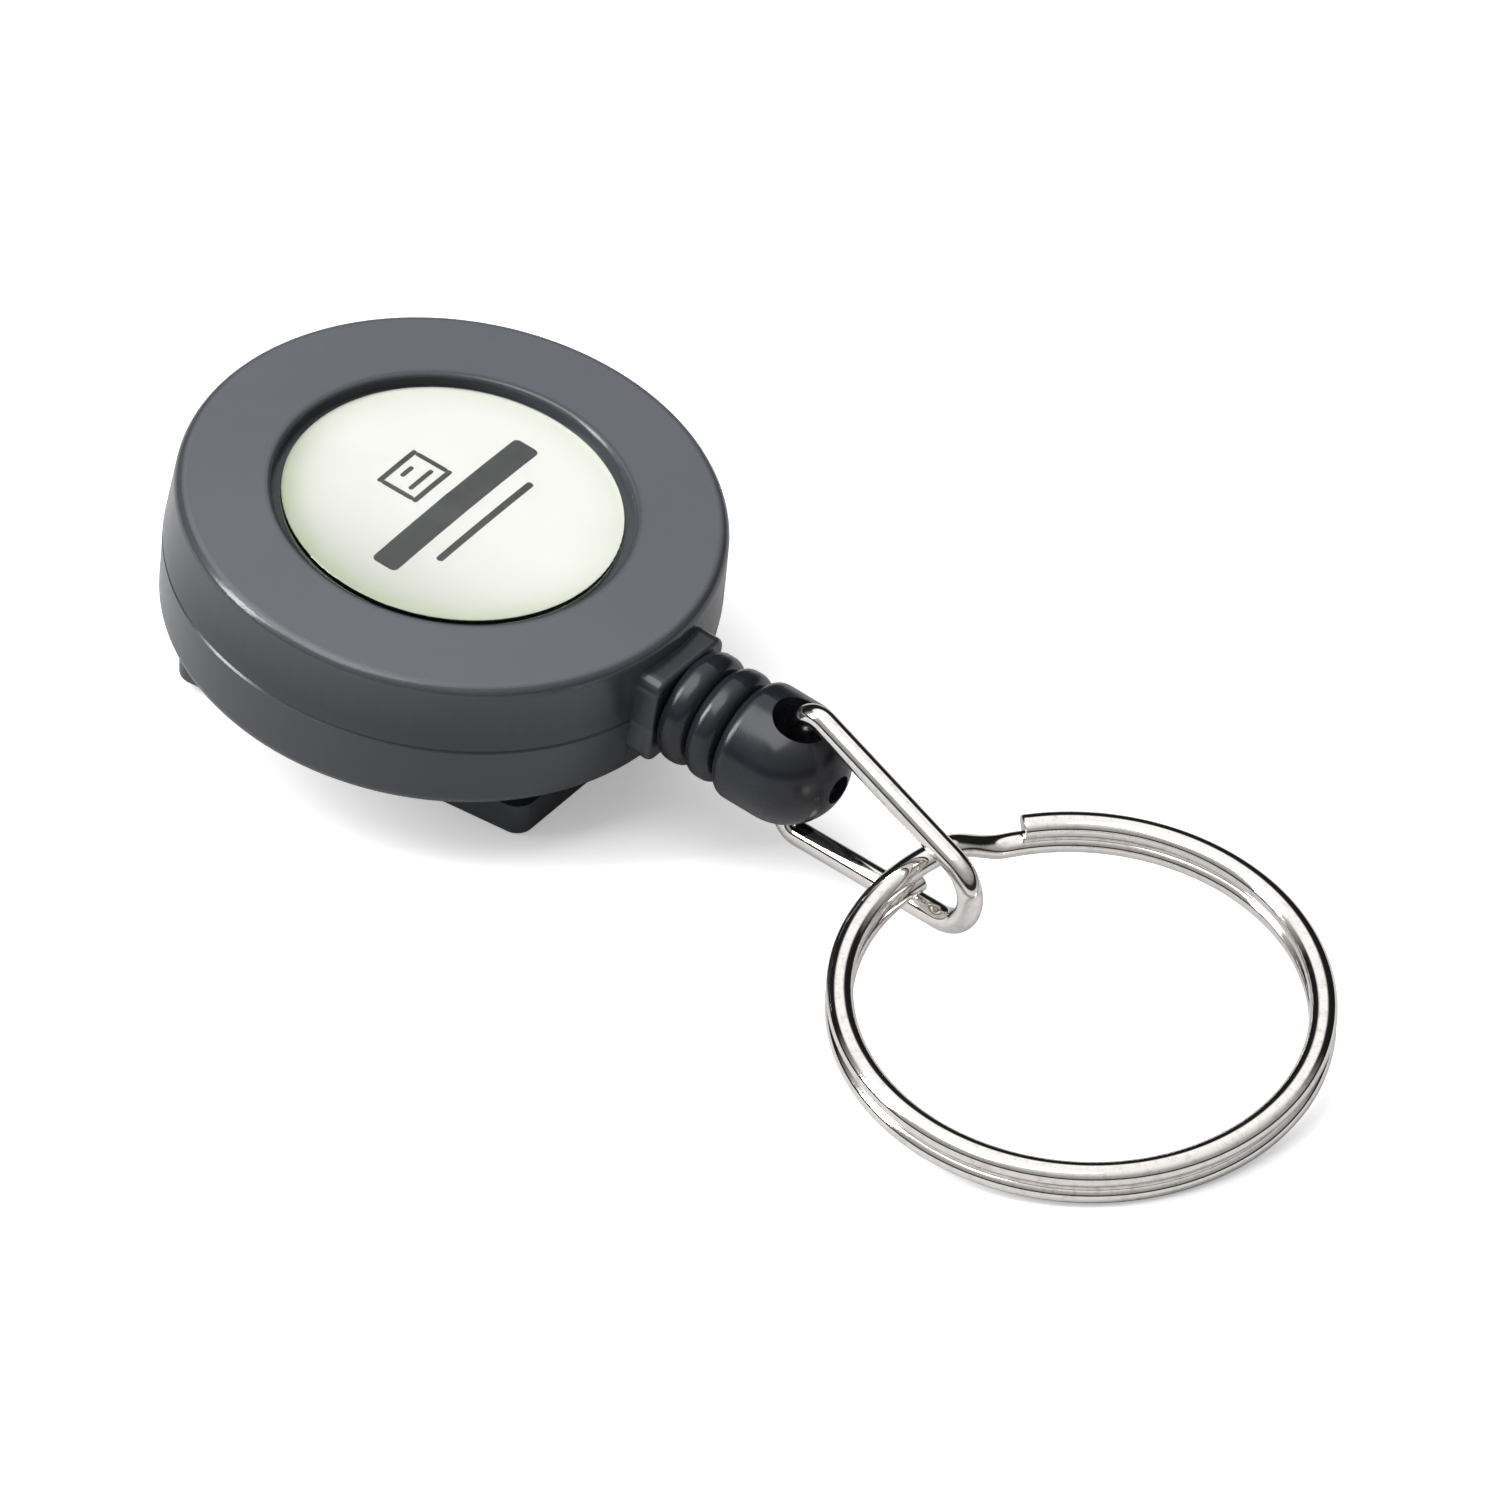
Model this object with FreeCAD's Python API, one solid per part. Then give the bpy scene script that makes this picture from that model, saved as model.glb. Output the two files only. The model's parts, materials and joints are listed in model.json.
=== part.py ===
"""Retractable badge reel: a round two-shell case with a sprung cord spool, a bead on the cord's end that
holds a wire link and a split ring, and a spring clip lever on the back.

Frames, in millimetres:
  case frame   origin on the case's axis at the parting plane, +X towards the cord exit, +Z out of the front
  cord frame   the case frame, raised to the cord's axis
  lever frame  origin on the clip's pivot, +X towards the jaw, +Z towards the case
  link frame   origin where the link's short side crosses the cord's axis, +X towards its far bend
  ring frame   origin at the split ring's centre, +Z along its axis
The reel lies front up on its clip lever, so the case frame is tilted. The row frame has Z = 0 on the
surface underneath, and its origin is the bottom centre of the whole object's box.
"""
import FreeCAD, Part
import math
import os

V = FreeCAD.Vector
X_AXIS, Y_AXIS, Z_AXIS = V(1, 0, 0), V(0, 1, 0), V(0, 0, 1)

# case
CASE_R = 16.25  # at the parting line
FACE_R = 16.03  # front edge, after draft
BACK_R = 15.95
CASE_HALF = 4.6  # front face and back face, from the parting plane
FLOOR = 1.2
CAVITY_R = 14.9
CAVITY_TOP = 2.6  # inside of the front shell
CAVITY_BOTTOM = -CASE_HALF + FLOOR
FRONT_FILLET, BACK_FILLET, LIP_FILLET = 0.7, 1.0, 0.25
SEAM = 0.12  # chamfer that makes the parting groove
TONGUE_R0, TONGUE_R1, TONGUE_H = 14.95, 15.35, 0.8
TONGUE_GAP = 0.05

# label
RECESS_R, LIP_Z = 10.5, 4.85  # the face rises a little from its edge to the recess's lip
RECESS_FLOOR = 3.95
LABEL_R, LABEL_T = 9.95, 0.2
DOME_EDGE, DOME_RISE, DOME_FILLET, DOME_GAP = 0.3, 0.65, 0.18, 0.01

# cord exit
NOZZLE_END, NOZZLE_START = 17.4, 15.6
NOZZLE_W, NOZZLE_TOP, NOZZLE_BOTTOM = 6.5, 3.3, -2.7
CORD_Z = 0.4  # the cord leaves a little above the parting plane
NOZZLE_FILLET = 0.9
CORD_R = 0.4
CORD_HOLE_R, MOUTH_R = 0.65, 1.6
MOUTH_X0, MOUTH_X1 = 14.4, 15.6
CORD_CORNER_X, CORD_BEND_R = 13.2, 2.5  # where the cord turns into the exit

# spool and what it carries
POST_R, POST_TOP = 2.2, 2.5
FLANGE_R, FLANGE_T = 14.4, 0.6
SPOOL_TOP, SPOOL_BOTTOM = 2.3, -3.1
GROOVE_TOP = SPOOL_TOP - FLANGE_T - 0.1  # underside of the front flange
DRUM_R, DRUM_WALL = 10.0, 1.6
WINDING_R0, WINDING_R1, WINDING_GAP = 10.05, 11.75, 0.05
RUNNING_GAP = 0.05
COVER_T, COVER_LEDGE, COVER_BORE_R = 0.4, 0.5, 2.6
ANCHOR_ANGLE, ANCHOR_DEPTH, ANCHOR_Z, ANCHOR_POCKET_R, ANCHOR_KNOT_R = 120.0, 0.6, -0.4, 0.85, 0.55

# power spring
STRIP_T, STRIP_TURNS = 0.18, 7.0
STRIP_R0, STRIP_R1 = 2.75, 8.15
STRIP_Z0, STRIP_Z1 = -2.5, 1.3
STRIP_SLOT_GAP, STRIP_SLOT_X, TANG_X = 0.1, 1.15, 1.35

# screw under the label
SCREW_R, SCREW_HEAD_R, SCREW_HEAD_T, SCREW_END = 0.85, 1.7, 0.55, -1.6
DRIVE_HALF_L, DRIVE_HALF_W, DRIVE_DEPTH = 1.0, 0.16, 0.3

# bead: two rings, a round-ended body, a hole for the cord's knot and a cross hole for the link
BEAD_START, BEAD_END = 17.5, 28.4
BEAD_RING_R, BEAD_RING_X, BEAD_RING_HALF, BEAD_RING_FILLET = 3.5, (18.5, 20.5), 0.99, 0.85
BEAD_NECK_R, BEAD_BODY_R, BEAD_BODY_X, BEAD_BODY_FILLET = 2.7, 3.75, 21.6, 0.9
BEAD_CORD_R, BEAD_TIP_R, BEAD_SHOULDER = 0.5, 0.9, 21.8
CROSS_X, CROSS_R = 25.1, 1.7
KNOT_R, KNOT_X, KNOT_INSET = 0.85, 22.7, 0.76

# wire link
LINK_WIRE_R, LINK_HALF, LINK_CORNER_R = 0.75, 4.8, 1.3
LINK_LENGTH, LINK_BEND_R = 11.9, 2.35
LINK_BUTT_GAP = 0.1
LINK_SWING, LINK_DROOP = -8.0, 2.8  # how it lies: degrees about the cross hole, and down within its play

# split ring
RING_R = 13.8  # middle of the wire
WIRE_WIDE, WIRE_THICK, COIL_PITCH = 0.8, 0.63, 1.32  # half axes of the flattened wire
RING_CUT, RING_JOG_START, RING_JOG_END, RING_TAIL = 140.0, 160.0, 144.0, 168.0
RING_STEP_POINTS = 5
RING_TILT, RING_TILT_HEADING = 9.1, -37.0
RING_CENTRE = (48.1, -4.2)  # in the row frame before centring

# clip
PIVOT_X, PIVOT_DROP = -4.4, 2.1  # below the case back
LEVER_ANGLE = 7.6
LEVER_X0, LEVER_X1, LEVER_HALF_W = -9.0, 16.0, 6.8
LEVER_OUTER, LEVER_EDGE, LEVER_WALL = -5.1, 2.2, 1.1
LEVER_CORNER, LEVER_FILLET = 1.1, 0.5
RIB_R, RIB_HALF, RIB_X, RIB_PITCH, RIB_COUNT = 0.35, 5.5, 1.5, 2.0, 4
JAW_X0, JAW_X1, JAW_HALF_W, JAW_GAP, JAW_NOSE = 8.7, 15.2, 4.95, 0.05, 1.6
EAR_Y0, EAR_Y1, EAR_R, EAR_BASE = 4.6, 5.8, 1.5, (-1.7, 4.4)
POST_Y0, POST_Y1, LUG_R, LUG_BASE = 3.2, 4.4, 1.5, (-2.0, -8.4)
PIN_R, PIN_HALF, PIN_HOLE_GAP = 0.6, 6.3, 0.01
COIL_R, COIL_WIRE_R, COIL_TURN_PITCH, COIL_TURNS = 1.25, 0.3, 0.75, 6.0
FIXED_LEG, FIXED_LEG_ANGLE = 7.2, 4.0  # up to the case's back
MOVING_LEG, MOVING_LEG_ANGLE = 6.0, 32.0  # down to the lever's grip

EPS = 0.01


def box(x0, x1, y0, y1, z0, z1):
    return Part.makeBox(x1 - x0, y1 - y0, z1 - z0, V(x0, y0, z0))


def rod(radius, start, end):
    return Part.makeCylinder(radius, (end - start).Length, start, end - start)


def ring(r0, r1, z0, z1):
    outer = rod(r1, V(0, 0, z0), V(0, 0, z1))
    return outer.cut(rod(r0, V(0, 0, z0 - 1), V(0, 0, z1 + 1)))


def turned(points):
    """A solid of revolution about Z, from a closed outline of (radius, z)."""
    corners = [V(r, 0, z) for r, z in points]
    face = Part.Face(Part.makePolygon(corners + corners[:1]))
    return face.revolve(V(0, 0, 0), Z_AXIS, 360)


def circle_edges(solid, radius, z):
    """The solid's full circles of this radius at this height."""
    found = []
    for edge in round_edges(solid):
        if abs(edge.Curve.Radius - radius) < EPS and abs(edge.Curve.Center.z - z) < EPS:
            found.append(edge)
    return found


def round_edges(solid):
    return [e for e in solid.Edges if not e.Degenerated and isinstance(e.Curve, Part.Circle)]


def tangent_point(point, centre, radius, side):
    """Where the line from point touches the circle, in a plane; side is 1 or -1."""
    dx, dz = point[0] - centre[0], point[1] - centre[1]
    angle = math.atan2(dz, dx) + side * math.acos(radius / math.hypot(dx, dz))
    return centre[0] + radius * math.cos(angle), centre[1] + radius * math.sin(angle)


def lug(centre, radius, base, base_z, y0, y1):
    """A plate across Y that tapers from a straight base to a round end."""
    first, second = (base[0], base_z), (base[1], base_z)
    best = max(
        (
            [first, tangent_point(first, centre, radius, a), tangent_point(second, centre, radius, b), second]
            for a in (1, -1)
            for b in (1, -1)
        ),
        key=lambda outline: abs(polygon_area(outline)),
    )
    corners = [V(x, y0, z) for x, z in best]
    plate = Part.Face(Part.makePolygon(corners + corners[:1])).extrude(V(0, y1 - y0, 0))
    return plate.fuse(rod(radius, V(centre[0], y0, centre[1]), V(centre[0], y1, centre[1]))).removeSplitter()


def polygon_area(points):
    pairs = zip(points, points[1:] + points[:1])
    return sum(a[0] * b[1] - b[0] * a[1] for a, b in pairs) / 2


def swept(path_edges, profile):
    return Part.Wire(path_edges).makePipeShell([profile], True, False)


def pivot():
    return V(PIVOT_X, 0, -CASE_HALF - PIVOT_DROP)


# where each frame lies
LEVER_PLACE = FreeCAD.Placement(pivot(), FreeCAD.Rotation(Y_AXIS, -LEVER_ANGLE))


def rest_tilt():
    """The case's tilt when the clip lies on its first rib and on its rounded jaw edge."""
    rib = V(RIB_X, 0, LEVER_OUTER)
    jaw = jaw_edge_centre()
    rise = math.atan2(jaw.z - rib.z, jaw.x - rib.x)
    swell = math.asin((LEVER_FILLET - RIB_R) / (jaw - rib).Length)
    return LEVER_ANGLE + math.degrees(rise - swell)


def jaw_edge_centre():
    return V(LEVER_X1 - LEVER_FILLET, 0, LEVER_OUTER + LEVER_FILLET)


CASE_TURN = FreeCAD.Rotation(Y_AXIS, rest_tilt())
CASE_HEIGHT = LEVER_FILLET - CASE_TURN.multVec(LEVER_PLACE.multVec(jaw_edge_centre())).z
CASE_PLACE = FreeCAD.Placement(V(0, 0, CASE_HEIGHT), CASE_TURN)
LINK_TURN = FreeCAD.Rotation(Z_AXIS, LINK_SWING) * FreeCAD.Rotation(Y_AXIS, LINK_DROOP)
CORD_PLACE = CASE_PLACE * FreeCAD.Placement(V(0, 0, CORD_Z), FreeCAD.Rotation())
LINK_PLACE = CORD_PLACE * FreeCAD.Placement(V(CROSS_X, 0, 0), LINK_TURN)


def ring_place():
    """The ring leans on the link, and its lowest point touches the surface."""
    heading = math.radians(RING_TILT_HEADING)
    lean_axis = V(-math.sin(heading), math.cos(heading), 0)
    turn = FreeCAD.Rotation(lean_axis, RING_TILT)
    tilt = math.radians(RING_TILT)
    half_section = math.hypot(WIRE_WIDE * math.sin(tilt), WIRE_THICK * math.cos(tilt))
    height = RING_R * math.sin(tilt) + COIL_PITCH / 2 * math.cos(tilt) + half_section
    return FreeCAD.Placement(V(RING_CENTRE[0], RING_CENTRE[1], height), turn)


RING_PLACE = ring_place()

# the spring's helix: its axis along -Y of the case, its start on the case's side
COIL_TO_CASE = FreeCAD.Rotation(FreeCAD.Matrix(0, -1, 0, 0,
                                               0, 0, -1, 0,
                                               1, 0, 0, 0,
                                               0, 0, 0, 1))


def nozzle_block():
    half = NOZZLE_W / 2
    block = box(NOZZLE_START, NOZZLE_END, -half, half, NOZZLE_BOTTOM, NOZZLE_TOP)
    long_edges = [e for e in block.Edges if abs(e.tangentAt(0).x) > 0.9]
    block = block.makeFillet(NOZZLE_FILLET, long_edges)
    end_edges = [e for e in block.Edges if e.BoundBox.XMin > NOZZLE_END - EPS]
    return block.makeFillet(NOZZLE_FILLET / 3, end_edges)


def cord_passage():
    hole = rod(CORD_HOLE_R, V(MOUTH_X0, 0, CORD_Z), V(NOZZLE_END + 1, 0, CORD_Z))
    mouth = Part.makeCone(MOUTH_R, CORD_HOLE_R, MOUTH_X1 - MOUTH_X0, V(MOUTH_X0, 0, CORD_Z), X_AXIS)
    return hole.fuse(mouth)


def front_shell():
    rebate = TONGUE_R1 + TONGUE_GAP
    shell = turned([
        (0, RECESS_FLOOR), (RECESS_R, RECESS_FLOOR), (RECESS_R, LIP_Z), (FACE_R, CASE_HALF),
        (CASE_R, SEAM), (CASE_R - SEAM, 0), (rebate, 0), (rebate, TONGUE_H + TONGUE_GAP),
        (CAVITY_R, TONGUE_H + TONGUE_GAP), (CAVITY_R, CAVITY_TOP), (0, CAVITY_TOP),
    ])
    shell = shell.makeFillet(FRONT_FILLET, circle_edges(shell, FACE_R, CASE_HALF))
    shell = shell.makeFillet(LIP_FILLET, circle_edges(shell, RECESS_R, LIP_Z))
    upper = box(0, NOZZLE_END + 1, -NOZZLE_W, NOZZLE_W, 0, CASE_HALF)
    shell = shell.fuse(nozzle_block().common(upper)).cut(cord_passage())
    head_z = RECESS_FLOOR - SCREW_HEAD_T
    shell = shell.cut(rod(SCREW_HEAD_R + RUNNING_GAP, V(0, 0, head_z - EPS), V(0, 0, CASE_HALF)))
    return shell.cut(rod(SCREW_R + RUNNING_GAP, V(0, 0, CAVITY_TOP - 1), V(0, 0, CASE_HALF)))


def rear_shell():
    shell = turned([
        (0, -CASE_HALF), (BACK_R, -CASE_HALF), (CASE_R, -SEAM), (CASE_R - SEAM, 0), (TONGUE_R1, 0),
        (TONGUE_R1, TONGUE_H), (TONGUE_R0, TONGUE_H), (TONGUE_R0, CAVITY_BOTTOM), (0, CAVITY_BOTTOM),
    ])
    shell = shell.makeFillet(BACK_FILLET, circle_edges(shell, BACK_R, -CASE_HALF))
    lower = box(0, NOZZLE_END + 1, -NOZZLE_W, NOZZLE_W, -CASE_HALF, 0)
    shell = shell.fuse(nozzle_block().common(lower)).cut(cord_passage())
    return shell.fuse(spring_post()).fuse(clip_bracket()).removeSplitter()


def spring_post():
    """The post that the spool turns on: slotted for the power spring, with a hole for the screw."""
    post = rod(POST_R, V(0, 0, CAVITY_BOTTOM - FLOOR / 2), V(0, 0, POST_TOP))
    post = post.cut(rod(SCREW_R + PIN_HOLE_GAP, V(0, 0, SCREW_END - 0.5), V(0, 0, POST_TOP + 1)))
    slot_half = STRIP_T / 2 + STRIP_SLOT_GAP
    slot_z = STRIP_Z0 - STRIP_SLOT_GAP
    return post.cut(box(STRIP_SLOT_X, POST_R + 1, -slot_half, slot_half, slot_z, POST_TOP + 1))


def clip_bracket():
    """Two lugs on the back that hold the clip's pin."""
    centre = (pivot().x, pivot().z)
    pair = []
    for side in (1, -1):
        y0, y1 = sorted((side * POST_Y0, side * POST_Y1))
        pair.append(lug(centre, LUG_R, LUG_BASE, -CASE_HALF + 0.2, y0, y1))
    pin_hole = rod(PIN_R + PIN_HOLE_GAP, pivot() - Y_AXIS * 9, pivot() + Y_AXIS * 9)
    return pair[0].fuse(pair[1]).cut(pin_hole)


def centre_screw():
    top = RECESS_FLOOR - EPS
    head = rod(SCREW_HEAD_R, V(0, 0, top - SCREW_HEAD_T + EPS), V(0, 0, top))
    shank = rod(SCREW_R, V(0, 0, SCREW_END), V(0, 0, top - SCREW_HEAD_T / 2))
    screw = head.fuse(shank)
    for turn in (0, 90):
        slot = box(-DRIVE_HALF_L, DRIVE_HALF_L, -DRIVE_HALF_W, DRIVE_HALF_W, top - DRIVE_DEPTH, top + 1)
        slot.rotate(V(0, 0, 0), Z_AXIS, turn)
        screw = screw.cut(slot)
    return screw


def label_print():
    return rod(LABEL_R, V(0, 0, RECESS_FLOOR), V(0, 0, RECESS_FLOOR + LABEL_T))


def label_dome():
    """Clear resin on the label: a short upright edge under a shallow spherical cap."""
    base = RECESS_FLOOR + LABEL_T + DOME_GAP
    shoulder, crown = base + DOME_EDGE, base + DOME_EDGE + DOME_RISE
    radius = (LABEL_R**2 + DOME_RISE**2) / (2 * DOME_RISE)
    halfway = math.asin(LABEL_R / radius) / 2
    middle = V(radius * math.sin(halfway), 0, crown - radius * (1 - math.cos(halfway)))
    cap = Part.Arc(V(LABEL_R, 0, shoulder), middle, V(0, 0, crown)).toShape()
    rest = Part.makePolygon([V(0, 0, crown), V(0, 0, base), V(LABEL_R, 0, base), V(LABEL_R, 0, shoulder)])
    outline = Part.Wire([cap] + rest.Edges)
    dome = Part.Face(outline).revolve(V(0, 0, 0), Z_AXIS, 360)
    return dome.makeFillet(DOME_FILLET, circle_edges(dome, LABEL_R, shoulder))


def spool():
    """A drum with two flanges; the front flange closes the drum and turns on the post."""
    drum_in = DRUM_R - DRUM_WALL
    body = ring(drum_in, DRUM_R, SPOOL_BOTTOM, GROOVE_TOP + EPS)
    body = body.fuse(ring(POST_R + RUNNING_GAP, FLANGE_R, GROOVE_TOP, SPOOL_TOP))
    body = body.fuse(ring(drum_in, FLANGE_R, SPOOL_BOTTOM, SPOOL_BOTTOM + FLANGE_T))
    body = body.cut(rod(drum_in + COVER_LEDGE, V(0, 0, SPOOL_BOTTOM - 1), V(0, 0, SPOOL_BOTTOM + COVER_T)))
    anchor, outward = anchor_point(), anchor_direction()
    body = body.cut(rod(ANCHOR_POCKET_R, anchor, anchor - outward * 2))
    body = body.cut(Part.makeSphere(ANCHOR_POCKET_R, anchor))
    return body.cut(rod(CORD_HOLE_R, anchor, anchor + outward * 2)).removeSplitter()


def anchor_direction():
    return FreeCAD.Rotation(Z_AXIS, ANCHOR_ANGLE).multVec(X_AXIS)


def anchor_point():
    """The middle of the pocket for the knot in the cord's inner end."""
    return anchor_direction() * (DRUM_R - DRUM_WALL + ANCHOR_DEPTH) + V(0, 0, ANCHOR_Z)


def cord_anchor_knot():
    return Part.makeSphere(ANCHOR_KNOT_R, anchor_point())


def spring_cover():
    rim = DRUM_R - DRUM_WALL + COVER_LEDGE - EPS
    return ring(COVER_BORE_R, rim, SPOOL_BOTTOM, SPOOL_BOTTOM + COVER_T - EPS)


def cord_winding():
    return ring(WINDING_R0, WINDING_R1, SPOOL_BOTTOM + FLANGE_T + WINDING_GAP, GROOVE_TOP - WINDING_GAP)


def spiral_side(offset):
    """One side of the power spring's strip, as a smooth curve through points on a spiral."""
    steps = int(STRIP_TURNS * 16)
    points = []
    for i in range(steps + 1):
        turn = 2 * math.pi * STRIP_TURNS * i / steps
        r = STRIP_R0 + (STRIP_R1 - STRIP_R0) * i / steps + offset
        points.append(V(r * math.cos(turn), r * math.sin(turn), STRIP_Z0))
    curve = Part.BSplineCurve()
    curve.interpolate(points)
    return curve.toShape(), points[0], points[-1]


def power_spring():
    inner, inner_first, inner_last = spiral_side(-STRIP_T / 2)
    outer, outer_first, outer_last = spiral_side(STRIP_T / 2)
    outline = Part.Wire([
        inner, Part.makeLine(inner_last, outer_last), outer, Part.makeLine(outer_first, inner_first),
    ])
    coil = Part.Face(outline).extrude(V(0, 0, STRIP_Z1 - STRIP_Z0))
    return coil.fuse(box(TANG_X, STRIP_R0, -STRIP_T / 2, STRIP_T / 2, STRIP_Z0, STRIP_Z1))


def cord_route():
    """From the winding, round the mouth and out along the axis: (start, bend start, bend, bend end)."""
    lead_r = WINDING_R1 + CORD_R + RUNNING_GAP
    angle = math.acos(lead_r / CORD_CORNER_X)
    start = V(lead_r * math.cos(angle), lead_r * math.sin(angle), 0)
    corner = V(CORD_CORNER_X, 0, 0)
    way = (corner - start).normalize()
    turn = math.acos(way.dot(X_AXIS))
    set_back = CORD_BEND_R * math.tan(turn / 2)
    towards_centre = (X_AXIS - way).normalize()
    middle = corner + towards_centre * CORD_BEND_R * (1 / math.cos(turn / 2) - 1)
    return start, corner - way * set_back, middle, corner + X_AXIS * set_back


def cord_lead():
    start, bend_start, middle, bend_end = cord_route()
    path = [
        Part.makeLine(start, bend_start),
        Part.Arc(bend_start, middle, bend_end).toShape(),
        Part.makeLine(bend_end, cord_end()),
    ]
    print("cord bend radius", CORD_BEND_R, "mm in a cord of radius", CORD_R, "mm")
    profile = Part.Wire(Part.makeCircle(CORD_R, start, bend_start - start))
    return swept(path, profile)


def cord_end():
    """Where the lead stops, just inside the knot at its outer end."""
    return V(KNOT_X - KNOT_INSET, 0, 0)


def cord_end_knot():
    knot = Part.makeSphere(KNOT_R, V(KNOT_X, 0, 0))
    return knot.cut(rod(CORD_R, V(KNOT_X - 2 * KNOT_R, 0, 0), cord_end()))


def bead():
    length = BEAD_END - BEAD_START
    body_centre = BEAD_END - BEAD_BODY_R
    solid = rod(BEAD_NECK_R, V(BEAD_START, 0, 0), V(BEAD_BODY_X + 1, 0, 0))
    body = rod(BEAD_BODY_R, V(BEAD_BODY_X, 0, 0), V(body_centre, 0, 0))
    body = body.fuse(Part.makeSphere(BEAD_BODY_R, V(body_centre, 0, 0))).removeSplitter()
    body = body.cut(box(BEAD_BODY_X - length, BEAD_BODY_X, -length, length, -length, length))
    rear_rim = [e for e in body.Edges if e.BoundBox.XMax < BEAD_BODY_X + EPS]
    solid = solid.fuse(body.makeFillet(BEAD_BODY_FILLET, rear_rim))
    for x in BEAD_RING_X:
        disc = rod(BEAD_RING_R, V(x - BEAD_RING_HALF, 0, 0), V(x + BEAD_RING_HALF, 0, 0))
        solid = solid.fuse(disc.makeFillet(BEAD_RING_FILLET, round_edges(disc)))
    solid = solid.cut(rod(BEAD_CORD_R, V(BEAD_START - 1, 0, 0), V(BEAD_SHOULDER + 1, 0, 0)))
    solid = solid.cut(rod(BEAD_TIP_R, V(BEAD_SHOULDER, 0, 0), V(BEAD_END + 1, 0, 0)))
    return solid.cut(rod(CROSS_R, V(CROSS_X, 0, -length), V(CROSS_X, 0, length)))


def wire_link():
    """A closed loop: a short side through the bead, and two long sides that meet in a bend.

    The wire's ends butt inside the bead, with a hairline gap.
    """
    bend = (LINK_LENGTH, 0)
    upper = tangent_point((0, LINK_HALF), bend, LINK_BEND_R, -1)
    lean = math.atan2(LINK_HALF - upper[1], upper[0])
    set_back = LINK_CORNER_R * math.tan((math.pi / 2 + lean) / 2)
    corner_centre = (LINK_CORNER_R, LINK_HALF - set_back)
    mid_turn = (math.pi + math.pi / 2 - lean) / 2

    def at(x, z):
        return V(x, 0, z)

    edges = []
    for sign in (1, -1):
        low = at(0, sign * (LINK_HALF - set_back))
        high = at(set_back * math.cos(lean), sign * (LINK_HALF - set_back * math.sin(lean)))
        middle = at(corner_centre[0] + LINK_CORNER_R * math.cos(mid_turn),
                    sign * (corner_centre[1] + LINK_CORNER_R * math.sin(mid_turn)))
        half = [
            Part.makeLine(at(0, sign * LINK_BUTT_GAP / 2), low),
            Part.Arc(low, middle, high).toShape(),
            Part.makeLine(high, at(upper[0], sign * upper[1])),
        ]
        edges.append(half)
    far = Part.Arc(at(*upper), at(LINK_LENGTH + LINK_BEND_R, 0), at(upper[0], -upper[1])).toShape()
    path = edges[0] + [far] + edges[1][::-1]
    profile = Part.Wire(Part.makeCircle(LINK_WIRE_R, at(0, LINK_BUTT_GAP / 2), Z_AXIS))
    return swept(path, profile)


def on_ring(angle, z):
    return V(RING_R * math.cos(math.radians(angle)), RING_R * math.sin(math.radians(angle)), z)


def split_ring():
    """Two turns of flattened wire, one on the other, joined by a short step between levels."""
    top, bottom = COIL_PITCH / 2, -COIL_PITCH / 2

    def arc(start, end, z):
        return Part.Arc(on_ring(start, z), on_ring((start + end) / 2, z), on_ring(end, z)).toShape()

    upper_end, lower_start, lower_end = RING_JOG_START - 360, RING_JOG_END - 360, RING_TAIL - 720
    step = Part.BSplineCurve()
    points = []
    for i in range(RING_STEP_POINTS):
        share = i / (RING_STEP_POINTS - 1)
        height = top + (bottom - top) * (1 - math.cos(math.pi * share)) / 2
        points.append(on_ring(upper_end + (lower_start - upper_end) * share, height))

    def heading(angle):
        return V(math.sin(math.radians(angle)), -math.cos(math.radians(angle)), 0)

    step.interpolate(points, InitialTangent=heading(upper_end), FinalTangent=heading(lower_start))
    path = [arc(RING_CUT, upper_end, top), step.toShape(), arc(lower_start, lower_end, bottom)]
    section = Part.Ellipse(V(0, 0, 0), WIRE_WIDE, WIRE_THICK).toShape()
    outward = on_ring(RING_CUT, 0).normalize()
    turn = FreeCAD.Matrix(outward.x, 0, heading(RING_CUT).x, on_ring(RING_CUT, top).x,
                          outward.y, 0, heading(RING_CUT).y, on_ring(RING_CUT, top).y,
                          0, 1, 0, top,
                          0, 0, 0, 1)
    section = section.transformed(turn)
    shell = Part.BRepOffsetAPI.MakePipeShell(Part.Wire(path))
    shell.setBiNormalMode(Z_AXIS)
    shell.add(Part.Wire(section))
    shell.build()
    shell.makeSolid()
    return shell.shape()


def lever_plate():
    plate = box(LEVER_X0, LEVER_X1, -LEVER_HALF_W, LEVER_HALF_W, LEVER_OUTER, LEVER_OUTER + LEVER_EDGE)
    uprights = [e for e in plate.Edges if abs(e.tangentAt(0).z) > 0.9]
    plate = plate.makeFillet(LEVER_CORNER, uprights)
    outer_edges = [e for e in plate.Edges if e.BoundBox.ZMax < LEVER_OUTER + EPS]
    plate = plate.makeFillet(LEVER_FILLET, outer_edges)
    wall = LEVER_WALL
    pocket = box(LEVER_X0 + wall, LEVER_X1 - wall, -LEVER_HALF_W + wall, LEVER_HALF_W - wall,
                 LEVER_OUTER + wall, LEVER_OUTER + LEVER_EDGE + 1)
    return plate.cut(pocket)


def lever_ribs():
    bars = []
    for i in range(RIB_COUNT):
        x = RIB_X - i * RIB_PITCH
        ends = [V(x, side * (RIB_HALF - RIB_R), LEVER_OUTER) for side in (-1, 1)]
        bars.append(rod(RIB_R, *ends).multiFuse([Part.makeSphere(RIB_R, end) for end in ends]))
    return bars


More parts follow.
